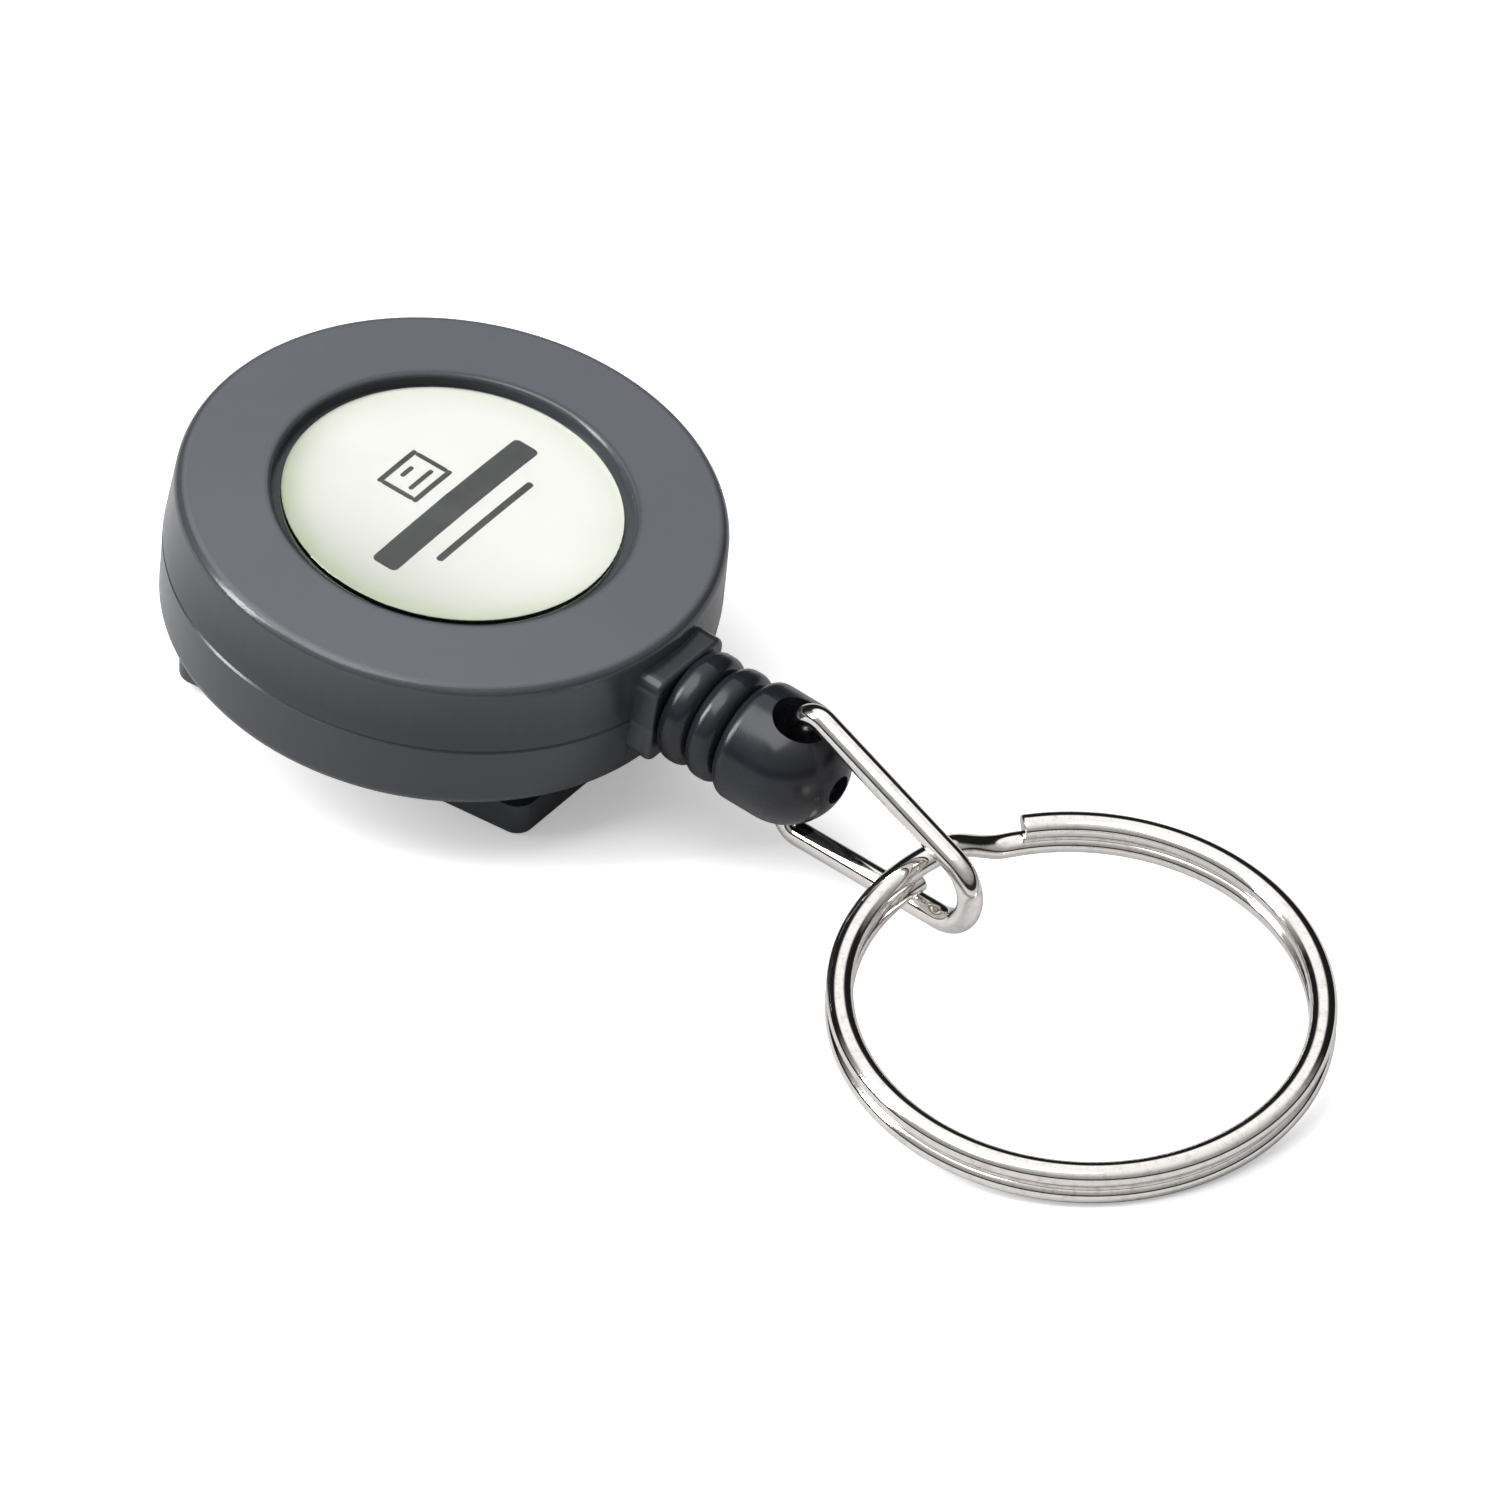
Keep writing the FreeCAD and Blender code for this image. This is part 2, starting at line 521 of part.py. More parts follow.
def lever_jaw():
    """The block under the lever's end that closes on the case's back."""
    block = box(JAW_X0, JAW_X1, -JAW_HALF_W, JAW_HALF_W, LEVER_OUTER + LEVER_WALL / 2, 2.5)
    back = box(-30, 30, -30, 30, -CASE_HALF - JAW_GAP, 30)
    back.Placement = LEVER_PLACE.inverse()
    block = block.cut(back)
    nose = [e for e in block.Edges if e.BoundBox.XMin > JAW_X1 - EPS and e.BoundBox.ZMin > LEVER_OUTER + 3]
    return block.makeFillet(JAW_NOSE, nose)


def clip_lever():
    lever = lever_plate().multiFuse(lever_ribs() + [lever_jaw()])
    for side in (1, -1):
        y0, y1 = sorted((side * EAR_Y0, side * EAR_Y1))
        lever = lever.fuse(lug((0, 0), EAR_R, EAR_BASE, LEVER_OUTER + LEVER_WALL / 2, y0, y1))
    lever = lever.cut(rod(PIN_R + RUNNING_GAP, V(0, -9, 0), V(0, 9, 0)))
    return lever.removeSplitter()


def clip_pin():
    pin = rod(PIN_R, pivot() - Y_AXIS * PIN_HALF, pivot() + Y_AXIS * PIN_HALF)
    return pin.makeChamfer(0.12, round_edges(pin))


def clip_spring():
    """A torsion spring round the pin: one leg along the case's back, the other under the lever's grip."""
    turns = COIL_TURNS + (180 - FIXED_LEG_ANGLE - MOVING_LEG_ANGLE) / 360
    length = COIL_TURN_PITCH * turns
    helix = Part.makeHelix(COIL_TURN_PITCH, length, COIL_R, 0, True)
    helix.rotate(V(0, 0, 0), Z_AXIS, -FIXED_LEG_ANGLE)
    first, start_way = wire_end(helix, True)
    last, end_way = wire_end(helix, False)
    profile = Part.Wire(Part.makeCircle(COIL_WIRE_R, first, start_way))
    coil = Part.Wire(helix.Edges).makePipeShell([profile], True, True)
    first_leg = rod(COIL_WIRE_R, first, first - start_way * FIXED_LEG)
    last_leg = rod(COIL_WIRE_R, last, last + end_way * MOVING_LEG)
    spring = coil.multiFuse([first_leg, last_leg])
    spring.translate(V(0, 0, -length / 2))
    return placed(spring, FreeCAD.Placement(pivot(), COIL_TO_CASE))


def wire_end(wire, at_start):
    """One end of a wire, and the unit direction of travel there."""
    edge = wire.Edges[0] if at_start else wire.Edges[-1]
    parameter = edge.FirstParameter if at_start else edge.LastParameter
    return edge.valueAt(parameter), edge.tangentAt(parameter).normalize()


CASE_PARTS = (front_shell, rear_shell, centre_screw, label_print, label_dome, spool, spring_cover,
              power_spring, cord_winding, cord_anchor_knot, clip_pin, clip_spring)
CORD_PARTS = (cord_lead, cord_end_knot, bead)


def placed(shape, place):
    moved = shape.copy()
    moved.Placement = place * moved.Placement
    return moved


def all_parts():
    parts = {make.__name__: placed(make(), CASE_PLACE) for make in CASE_PARTS}
    parts |= {make.__name__: placed(make(), CORD_PLACE) for make in CORD_PARTS}
    parts["clip_lever"] = placed(clip_lever(), CASE_PLACE * LEVER_PLACE)
    parts["wire_link"] = placed(wire_link(), LINK_PLACE)
    parts["split_ring"] = placed(split_ring(), RING_PLACE)
    return parts


def centring(parts):
    """The move that puts the origin at the middle of the whole object's box."""
    whole = Part.makeCompound(list(parts.values())).optimalBoundingBox(False)
    return V(-(whole.XMin + whole.XMax) / 2, -(whole.YMin + whole.YMax) / 2, 0)


PARTS = all_parts()
SHIFT = centring(PARTS)

os.makedirs("parts", exist_ok=True)
for name, shape in PARTS.items():
    shape.translate(SHIFT)
    if shape.ShapeType == "Compound" and len(shape.Solids) == 1:
        shape = shape.Solids[0]
    print(name, "valid" if shape.isValid() else "NOT VALID", len(shape.Solids), round(shape.Volume, 2))
    shape.exportStep(f"parts/{name}.step")
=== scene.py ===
import json
import math

import bmesh
import bpy
from bpy.props import FloatProperty, FloatVectorProperty, IntProperty, PointerProperty
from mathutils import Matrix, Vector


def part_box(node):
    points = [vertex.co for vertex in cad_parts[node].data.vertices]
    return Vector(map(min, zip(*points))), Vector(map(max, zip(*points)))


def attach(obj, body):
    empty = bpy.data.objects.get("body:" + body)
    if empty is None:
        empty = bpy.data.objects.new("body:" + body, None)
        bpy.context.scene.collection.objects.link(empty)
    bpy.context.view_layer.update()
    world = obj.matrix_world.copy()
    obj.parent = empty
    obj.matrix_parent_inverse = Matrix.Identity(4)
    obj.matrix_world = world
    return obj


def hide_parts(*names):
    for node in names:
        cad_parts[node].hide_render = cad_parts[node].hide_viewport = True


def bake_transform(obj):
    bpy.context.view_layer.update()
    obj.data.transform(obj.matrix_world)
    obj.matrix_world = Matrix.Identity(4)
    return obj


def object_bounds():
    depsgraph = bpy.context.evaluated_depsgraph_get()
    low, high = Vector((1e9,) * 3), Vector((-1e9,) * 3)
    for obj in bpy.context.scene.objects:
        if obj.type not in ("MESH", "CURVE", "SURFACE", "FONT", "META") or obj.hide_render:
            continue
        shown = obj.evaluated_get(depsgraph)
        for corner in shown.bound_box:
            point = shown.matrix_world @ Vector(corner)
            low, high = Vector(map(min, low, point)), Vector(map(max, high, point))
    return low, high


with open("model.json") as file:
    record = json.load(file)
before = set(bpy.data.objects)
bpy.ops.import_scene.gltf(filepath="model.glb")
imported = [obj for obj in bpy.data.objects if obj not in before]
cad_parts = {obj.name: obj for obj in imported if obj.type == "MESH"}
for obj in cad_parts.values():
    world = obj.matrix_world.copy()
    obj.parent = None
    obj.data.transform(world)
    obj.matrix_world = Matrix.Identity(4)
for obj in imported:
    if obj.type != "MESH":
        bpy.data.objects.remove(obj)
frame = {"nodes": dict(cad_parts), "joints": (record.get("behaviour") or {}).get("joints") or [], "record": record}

bl_info = {
    "name": "Badge Reel",
    "version": (1, 0, 0),
    "blender": (4, 5, 0),
    "location": "3D View > Sidebar > Badge Reel",
    "description": "Finishes a retractable badge reel and sets a small studio round it",
    "category": "Object",
}

CAD_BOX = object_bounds()
MM = 0.001
X_AXIS, Y_AXIS, Z_AXIS = Vector((1, 0, 0)), Vector((0, 1, 0)), Vector((0, 0, 1))
JOINTS = {joint["name"]: joint for joint in frame["joints"]}


# ---------------------------------------------------------------- where things lie

def joint_point(name):
    return Vector(JOINTS[name]["pos_m"])


def joint_axis(name):
    return Vector(JOINTS[name]["axis"]).normalized()


def case_turn():
    """The case's own axes: X out of the cord's exit, Z out of the front face."""
    z = joint_axis("spool_spin")
    x = joint_axis("bead_twist")
    return Matrix((x, z.cross(x), z)).transposed().to_4x4()


def turned(angle, axis):
    return Matrix.Rotation(math.radians(angle), 4, axis)


CASE = Matrix.Translation(joint_point("spool_spin")) @ case_turn()
KNOT = Matrix.Translation(joint_point("bead_twist")) @ case_turn()
LINK_SWING, LINK_DROOP = -8.0, 2.8
LINK = (Matrix.Translation(joint_point("link_swing")) @ case_turn()
        @ turned(LINK_SWING, "Z") @ turned(LINK_DROOP, "Y"))
PIN = Matrix.Translation(joint_point("clip_pivot")) @ case_turn()


def ring_frame(tilt=9.1, heading=-37.0):
    """The split ring's centre and lean; heading is the way its low side faces."""
    low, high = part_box("split_ring")
    axis = Vector((-math.sin(math.radians(heading)), math.cos(math.radians(heading)), 0))
    return Matrix.Translation((low + high) / 2) @ turned(tilt, axis)


RING = ring_frame()

# Along the cord, in millimetres from the spool's axis: it draws out between BLEND_START, inside the exit,
# and BLEND_END, at the bead, and its end knot is at KNOT_X.
BLEND_START, BLEND_END, KNOT_X = 16.7, 17.55, 22.7
# Heights over the parting plane, in millimetres: the label's top and the rim of the front face.
LABEL_TOP, FACE_TOP = 4.15, 4.6


# ---------------------------------------------------------------- settings

class ReelSizes(bpy.types.PropertyGroup):
    cord_radius: FloatProperty(
        name="Cord radius", description="Half the braided cord's thickness",
        default=0.0004, unit="LENGTH", subtype="DISTANCE", precision=5)
    cord_length: FloatProperty(
        name="Cord length", description="How far the cord draws out",
        default=0.8, unit="LENGTH", subtype="DISTANCE")
    ring_radius: FloatProperty(
        name="Split ring radius", description="To the middle of the split ring's wire",
        default=0.0138, unit="LENGTH", subtype="DISTANCE", precision=5)
    link_wire: FloatProperty(
        name="Link wire radius", description="Half the wire link's thickness",
        default=0.00075, unit="LENGTH", subtype="DISTANCE", precision=5)
    print_height: FloatProperty(
        name="Print height", description="How far the label's ink stands up",
        default=0.000006, unit="LENGTH", subtype="DISTANCE", precision=6)
    wire_sides: IntProperty(
        name="Wire sides", description="Faces round each wire", default=28, min=8, max=64)


class ReelColours(bpy.types.PropertyGroup):
    shell: FloatVectorProperty(
        name="Case", description="Moulded case colour", subtype="COLOR", size=3,
        default=(0.086, 0.092, 0.104), min=0, max=1)
    bead: FloatVectorProperty(
        name="Bead", description="Glossy bead colour", subtype="COLOR", size=3,
        default=(0.012, 0.013, 0.017), min=0, max=1)
    nickel: FloatVectorProperty(
        name="Nickel", description="Plated wire colour", subtype="COLOR", size=3,
        default=(0.86, 0.83, 0.79), min=0, max=1)
    label: FloatVectorProperty(
        name="Label", description="Label's ground colour", subtype="COLOR", size=3,
        default=(0.525, 0.518, 0.512), min=0, max=1)
    ink: FloatVectorProperty(
        name="Ink", description="Label's print colour", subtype="COLOR", size=3,
        default=(0.022, 0.024, 0.025), min=0, max=1)
    cord: FloatVectorProperty(
        name="Cord", description="Braided cord colour", subtype="COLOR", size=3,
        default=(0.022, 0.019, 0.017), min=0, max=1)


class StudioSettings(bpy.types.PropertyGroup):
    azimuth: FloatProperty(
        name="Azimuth", description="Camera's way round the object",
        default=math.radians(36.0), unit="ROTATION", subtype="ANGLE")
    elevation: FloatProperty(
        name="Elevation", description="Camera's height above the horizon",
        default=math.radians(37.2), unit="ROTATION", subtype="ANGLE")
    distance: FloatProperty(
        name="Distance", description="Camera to object", default=2.4, unit="LENGTH",
        subtype="DISTANCE")
    width: FloatProperty(
        name="Frame width", description="Width of the view at the object", default=0.086,
        unit="LENGTH", subtype="DISTANCE")


# ---------------------------------------------------------------- finishes

class Finish:
    """A material being made: a Principled shader and the nodes that feed it."""

    def __init__(self, name, color, roughness, **sockets):
        self.material = bpy.data.materials.new(name)
        self.material.use_nodes = True
        self.tree = self.material.node_tree
        self.shader = self.tree.nodes["Principled BSDF"]
        self.output = self.tree.nodes["Material Output"]
        self.shader.inputs["Base Color"].default_value = (*color, 1)
        self.shader.inputs["Roughness"].default_value = roughness
        for socket, value in sockets.items():
            self.shader.inputs[socket.replace("_", " ")].default_value = value

    def add(self, kind, outlet=0, settings=(), **values):
        """A node; values go to its inputs by name or number, and a socket among them is linked."""
        node = self.tree.nodes.new("ShaderNode" + kind)
        for key, value in dict(settings).items():
            setattr(node, key, value)
        for key, value in values.items():
            where = int(key[1:]) if key[0] == "i" and key[1:].isdigit() else key.replace("_", " ")
            self.feed(node.inputs[where], value)
        return node.outputs[outlet]

    def feed(self, socket, value):
        if isinstance(value, bpy.types.NodeSocket):
            self.tree.links.new(value, socket)
        else:
            socket.default_value = value

    def place(self, frame_matrix=None):
        """Object coordinates, read in one of the object's own frames if one is given."""
        spot = self.add("TexCoord", outlet="Object")
        if frame_matrix is None:
            return spot
        return self.add("Mapping", settings={"vector_type": "TEXTURE"}, Vector=spot,
                        Location=frame_matrix.to_translation(), Rotation=frame_matrix.to_euler())

    def out_from_axis(self, spot):
        """Distance from the frame's Z axis."""
        flat = self.add("VectorMath", settings={"operation": "MULTIPLY"}, i0=spot, i1=(1, 1, 0))
        return self.add("VectorMath", outlet="Value", settings={"operation": "LENGTH"}, i0=flat)

    def noise(self, spot, scale, detail=2.0, roughness=0.5):
        return self.add("TexNoise", Vector=spot, Scale=scale, Detail=detail, Roughness=roughness)

    def spread(self, value, low, high, to_low, to_high):
        return self.add("MapRange", i0=value, i1=low, i2=high, i3=to_low, i4=to_high)

    def tint(self, share, first, second):
        """A colour between two, by share."""
        return self.add("Mix", outlet=2, settings={"data_type": "RGBA"}, i0=share,
                        i6=first if isinstance(first, bpy.types.NodeSocket) else (*first, 1),
                        i7=second if isinstance(second, bpy.types.NodeSocket) else (*second, 1))

    def math(self, operation, first, second=0.0):
        return self.add("Math", settings={"operation": operation}, i0=first, i1=second)

    def bump(self, height, distance, strength=1.0):
        self.feed(self.shader.inputs["Normal"],
                  self.add("Bump", Height=height, Distance=distance, Strength=strength))

    def colour(self, socket):
        self.feed(self.shader.inputs["Base Color"], socket)

    def rough(self, socket):
        self.feed(self.shader.inputs["Roughness"], socket)


def scaled(color, factor):
    return tuple(min(1.0, c * factor) for c in color)


def moulded(name, color, roughness, grain=0.000004):
    """Moulded plastic: a fine spark-eroded grain, faint flow shading and small rub marks."""
    finish = Finish(name, color, roughness)
    spot = finish.place(CASE)
    finish.colour(finish.tint(finish.noise(spot, 90.0, 3.0), scaled(color, 0.88), scaled(color, 1.14)))
    finish.rough(finish.spread(finish.noise(spot, 1400.0), 0.3, 0.7, roughness * 0.88, roughness * 1.15))
    finish.bump(finish.noise(spot, 5200.0, 3.0, 0.6), grain, 0.6)
    return finish.material


# Where the front's finish changes, in metres: by height over the parting plane, then by distance from the
# case's axis at the recess and at the wall.
FACE_EDGE, RECESS_EDGE, CASE_WALL = (0.00452, 0.00462), (0.0107, 0.0110), (0.01605, 0.0162)


def front_moulding(color):
    """Satin front face, going glossy over its rounded edge, on the wall and on the cord's exit. The face is
    painted darker than the wall as painted shade, and the cord's exit darker still as painted dark reflection.
    """
    finish = Finish("charcoal_front", color, 0.4)
    spot = finish.place(CASE)
    height = finish.add("SeparateXYZ", outlet=2, Vector=spot)
    out = finish.out_from_axis(spot)
    above_edge = finish.spread(height, *FACE_EDGE, 0.0, 1.0)
    past_recess = finish.spread(out, *RECESS_EDGE, 0.0, 1.0)
    face = finish.math("MULTIPLY", above_edge, past_recess)
    # Painted dark reflection: everything out past the wall's radius, the cord's exit with it, gets a third of the
    # case colour.
    painted_dark_zone = finish.spread(out, *CASE_WALL, 0.0, 1.0)
    flow = finish.noise(spot, 90.0, 3.0)
    shade = finish.tint(flow, scaled(color, 0.9), scaled(color, 1.12))
    # Painted shade: the front face gets about half the wall's colour.
    shade = finish.tint(face, finish.tint(flow, scaled(color, 0.5), scaled(color, 0.6)), shade)
    finish.colour(finish.tint(painted_dark_zone, shade, scaled(color, 0.3)))
    worn = finish.spread(finish.noise(spot, 1400.0), 0.3, 0.7, 0.9, 1.12)
    finish.rough(finish.math("MULTIPLY", finish.spread(face, 0.0, 1.0, 0.2, 0.43), worn))
    pits = finish.noise(spot, 6500.0, 3.0, 0.6)
    finish.bump(finish.math("MULTIPLY", pits, finish.spread(face, 0.0, 1.0, 0.12, 1.0)), 0.000012, 0.8)
    return finish.material


def polished(name, color, roughness):
    """Glossy moulded plastic with faint rub marks."""
    finish = Finish(name, color, roughness, Specular_IOR_Level=0.4)
    spot = finish.place()
    haze = finish.noise(spot, 420.0, 4.0)
    finish.rough(finish.spread(haze, 0.3, 0.75, roughness * 0.8, roughness * 1.7))
    finish.colour(finish.tint(finish.noise(spot, 150.0), scaled(color, 0.8), scaled(color, 1.35)))
    finish.bump(finish.noise(spot, 260.0, 2.0), 0.00002, 0.35)
    return finish.material


def plated(name, color, roughness, waves=0.00002):
    """Bright plated wire: slightly wavy, with fine drawn marks and dull specks."""
    finish = Finish(name, color, roughness, Metallic=1.0)
    spot = finish.place()
    specks = finish.noise(spot, 1900.0, 4.0, 0.65)
    finish.rough(finish.spread(specks, 0.42, 0.78, roughness * 0.7, roughness * 2.6))
    finish.colour(finish.tint(finish.spread(specks, 0.5, 0.8, 0.0, 1.0), color, scaled(color, 0.72)))
    finish.bump(finish.noise(spot, 330.0, 2.0), waves, 0.5)
    return finish.material


def steel(name, color, roughness):
    """Dull drawn or rolled steel."""
    finish = Finish(name, color, roughness, Metallic=1.0)
    spot = finish.place()
    marks = finish.noise(spot, 900.0, 5.0, 0.7)
    finish.rough(finish.spread(marks, 0.3, 0.7, roughness * 0.75, roughness * 1.35))
    finish.colour(finish.tint(marks, scaled(color, 0.7), scaled(color, 1.15)))
    finish.bump(marks, 0.00001, 0.6)
    return finish.material


# The label's greyer side and greener rim: their colours, then where each begins and is full, in metres.
LABEL_GREY, LABEL_GREEN = (0.27, 0.28, 0.245), (0.29, 0.32, 0.19)
LABEL_RIM, LABEL_SIDE = (0.0068, 0.0101), (0.002, -0.0098)


def label_ground(color):
    """Silvery white print, greener towards the rim and greyer on one side."""
    finish = Finish("silver_label", color, 0.38, Specular_IOR_Level=0.3)
    spot = finish.place(CASE)
    out = finish.out_from_axis(spot)
    rim = finish.math("POWER", finish.spread(out, *LABEL_RIM, 0.0, 1.0), 2.6)
    across = finish.add("SeparateXYZ", outlet=1, Vector=spot)
    side = finish.spread(across, *LABEL_SIDE, 0.0, 1.0)
    grey_share = finish.math("MULTIPLY", finish.math("POWER", side, 2.2), 0.8)
    whole = finish.tint(grey_share, color, LABEL_GREY)
    edge = finish.math("MULTIPLY", rim, finish.spread(side, 0.0, 0.6, 0.4, 1.0))
    whole = finish.tint(edge, whole, LABEL_GREEN)
    mottle = finish.noise(spot, 1100.0, 3.0)
    finish.colour(finish.tint(finish.spread(mottle, 0.3, 0.8, 0.0, 0.10), whole, scaled(color, 0.8)))
    finish.bump(mottle, 0.000004, 0.5)
    return finish.material


def ink_black(color):
    finish = Finish("label_ink", color, 0.6, Specular_IOR_Level=0.1)
    specks = finish.noise(finish.place(CASE), 2600.0, 3.0)
    finish.colour(finish.tint(specks, scaled(color, 0.8), scaled(color, 1.7)))
    return finish.material


def clear_resin():
    """Clear resin that lets the lamps through to the label under it."""
    finish = Finish("clear_resin", (0.985, 0.992, 0.975), 0.02, Transmission_Weight=1.0, IOR=1.46)
    ripple = finish.noise(finish.place(CASE), 120.0, 1.0)
    finish.bump(ripple, 0.00003, 0.4)
    light = finish.add("LightPath", outlet="Is Shadow Ray")
    clear = finish.add("BsdfTransparent", Color=(0.97, 0.98, 0.96, 1))
    mixed = finish.add("MixShader", i0=light, i1=finish.shader.outputs[0], i2=clear)
    finish.feed(finish.output.inputs["Surface"], mixed)
    return finish.material


STRANDS = 8  # round the cord, in each direction


def braided(color, radius):
    """Tight round braid of crossing strands, on the cord's own map in metres, with painted shade between the
    strands and painted light on their crests.
    """
    finish = Finish("braided_cord", color, 0.62, Sheen_Weight=0.25)
    spot = finish.add("TexCoord", outlet="UV")
    round_way = finish.add("SeparateXYZ", outlet=0, Vector=spot)
    along = finish.add("SeparateXYZ", outlet=1, Vector=spot)
    strands = STRANDS / (2 * math.pi * radius)
    waves = []
    for sign in (1, -1):
        phase = finish.math("MULTIPLY_ADD", along, sign * strands * 0.8)
        finish.feed(phase.node.inputs[2], finish.math("MULTIPLY", round_way, strands))
        waves.append(finish.math("SINE", finish.math("MULTIPLY", phase, 2 * math.pi)))
    weave = finish.math("MAXIMUM", *waves)
    fleck = finish.noise(spot, 4200.0, 2.0, 0.7)
    light = finish.spread(fleck, 0.58, 0.72, 0.0, 0.8)
    # Painted shade and light: the colour goes dark between the strands and pale on their crests, by the weave.
    shade = finish.tint(finish.spread(weave, -0.2, 1.0, 0.0, 1.0), scaled(color, 0.35), scaled(color, 1.8))
    finish.colour(finish.tint(finish.math("MULTIPLY", light, weave), shade, (0.30, 0.27, 0.23)))
    finish.bump(weave, 0.00009)
    return finish.material


CORD_PITCH = 0.0008  # one turn of wound cord to the next, in metres


def fibres(name, color):
    """Wound or knotted cord seen inside the case, with painted shade between the turns and painted light on them.
    """
    finish = Finish(name, color, 0.7, Sheen_Weight=0.2)
    spot = finish.place(CASE)
    height = finish.add("SeparateXYZ", outlet=2, Vector=spot)
    turns = finish.math("SINE", finish.math("MULTIPLY", height, 2 * math.pi / CORD_PITCH))
    # Painted shade and light: the colour goes dark between the wound turns and pale on them.
    finish.colour(finish.tint(finish.spread(turns, -1, 1, 0, 1), scaled(color, 0.4), scaled(color, 2.0)))
    finish.bump(turns, 0.00015)
    return finish.material


FINISHES = {}


def make_finishes(colours, sizes):
    shell, steel_grey = tuple(colours.shell), (0.42, 0.42, 0.43)
    FINISHES.update({
        "front_shell": front_moulding(shell),
        "rear_shell": moulded("charcoal_rear", scaled(shell, 0.45), 0.22, grain=0.000001),
        "lever_plastic": moulded("charcoal_lever", scaled(shell, 0.6), 0.32, grain=0.000005),
        "bead_plastic": polished("gloss_bead", tuple(colours.bead), 0.2),
        "label_print": label_ground(tuple(colours.label)),
        "ink": ink_black(tuple(colours.ink)),
        "clear_resin": clear_resin(),
        "spool_plastic": moulded("natural_spool", (0.70, 0.69, 0.64), 0.45),
        "spring_steel": steel("spring_wire", steel_grey, 0.30),
        "dull_steel": steel("zinc_steel", (0.5, 0.5, 0.49), 0.38),
        "cord_braid": fibres("wound_cord", tuple(colours.cord)),
        "cord_line": braided(tuple(colours.cord), sizes.cord_radius),
        "nickel_wire": plated("nickel_link", tuple(colours.nickel), 0.08, 0.00005),
        "nickel_ring": plated("nickel_split_ring", tuple(colours.nickel), 0.06),
    })


# ---------------------------------------------------------------- shapes

def shape_object(name, bm, place, finish, crease=35.0):
    """A finished mesh object, modelled in millimetres in one of the frames above and placed by it."""
    bmesh.ops.transform(bm, matrix=place @ Matrix.Scale(MM, 4), verts=bm.verts)
    mesh = bpy.data.meshes.new(name)
    bm.to_mesh(mesh)
    bm.free()
    mesh.shade_smooth()
    mesh.set_sharp_from_angle(angle=math.radians(crease))
    mesh.materials.append(FINISHES[finish])
    piece = bpy.data.objects.new(name, mesh)
    bpy.context.scene.collection.objects.link(piece)
    return piece


class Wire:
    """A tube grown from one outline by straight runs and bends."""

    def __init__(self, start, way, radii, sides):
        self.bm = bmesh.new()
        turn = Z_AXIS.rotation_difference(way).to_matrix().to_4x4()
        outline = Matrix.Diagonal((radii[0], radii[1], 1, 1))
        bmesh.ops.create_circle(self.bm, cap_ends=False, segments=sides, radius=1.0,
                                matrix=Matrix.Translation(start) @ turn @ outline)
        self.tip = list(self.bm.edges)

    def run(self, move, steps=1):
        for _ in range(steps):
            grown = bmesh.ops.extrude_edge_only(self.bm, edges=self.tip)["geom"]
            points = [g for g in grown if isinstance(g, bmesh.types.BMVert)]
            bmesh.ops.translate(self.bm, verts=points, vec=Vector(move) / steps)
            ahead = set(points)
            self.tip = [g for g in grown if isinstance(g, bmesh.types.BMEdge) and set(g.verts) <= ahead]

    def bend(self, centre, axis, angle, steps, rise=0.0):
        """Turns about an axis through centre; rise is how far it also moves along the axis."""
        points = list(dict.fromkeys(v for e in self.tip for v in e.verts))
        grown = bmesh.ops.spin(
            self.bm, geom=points + self.tip, cent=centre, axis=axis, angle=math.radians(angle),
            dvec=Vector(axis) * rise / steps, steps=steps, use_merge=False, use_duplicate=False)
        self.tip = [g for g in grown["geom_last"] if isinstance(g, bmesh.types.BMEdge)]

    def close(self, rounding):
        """Caps both ends and rounds their rims."""
        rims = [e for e in self.bm.edges if e.is_boundary]
        bmesh.ops.holes_fill(self.bm, edges=rims, sides=0)
        bmesh.ops.recalc_face_normals(self.bm, faces=self.bm.faces)
        if rounding:
            bmesh.ops.bevel(self.bm, geom=rims, offset=rounding, segments=3, profile=0.5,
                            affect="EDGES", material=-1)
        return self.bm


def on_circle(radius, angle, z=0.0):
    return Vector((radius * math.cos(math.radians(angle)), radius * math.sin(math.radians(angle)), z))


def split_ring_shape(radius, sides):
    """Two turns of flattened wire, one on the other, with a short eased step between levels."""
    wide, thick, pitch, turn_steps = 0.8, 0.63, 1.32, 220
    cut, step_start, step_end, tail = 140.0, 160.0, 144.0, 168.0
    start = on_circle(radius, cut, pitch / 2)
    way = Vector((math.sin(math.radians(cut)), -math.cos(math.radians(cut)), 0))
    wire = Wire(Vector(), Z_AXIS, (1, 1), sides)
    lay = Matrix((on_circle(1, cut), Z_AXIS, way)).transposed().to_4x4()
    bmesh.ops.transform(wire.bm, verts=wire.bm.verts,
                        matrix=Matrix.Translation(start) @ lay @ Matrix.Diagonal((wide, thick, 1, 1)))
    wire.bend((0, 0, 0), Z_AXIS, -(cut - (step_start - 360)), turn_steps)
    stages, done = 12, 0.0
    for i in range(stages):
        drop = (1 - math.cos(math.pi * (i + 1) / stages)) / 2
        wire.bend((0, 0, 0), Z_AXIS, -(step_start - step_end) / stages, 1, rise=-pitch * (drop - done))
        done = drop
    wire.bend((0, 0, 0), Z_AXIS, -(step_end - 360 - (tail - 720)), turn_steps)
    return wire.close(0.12)


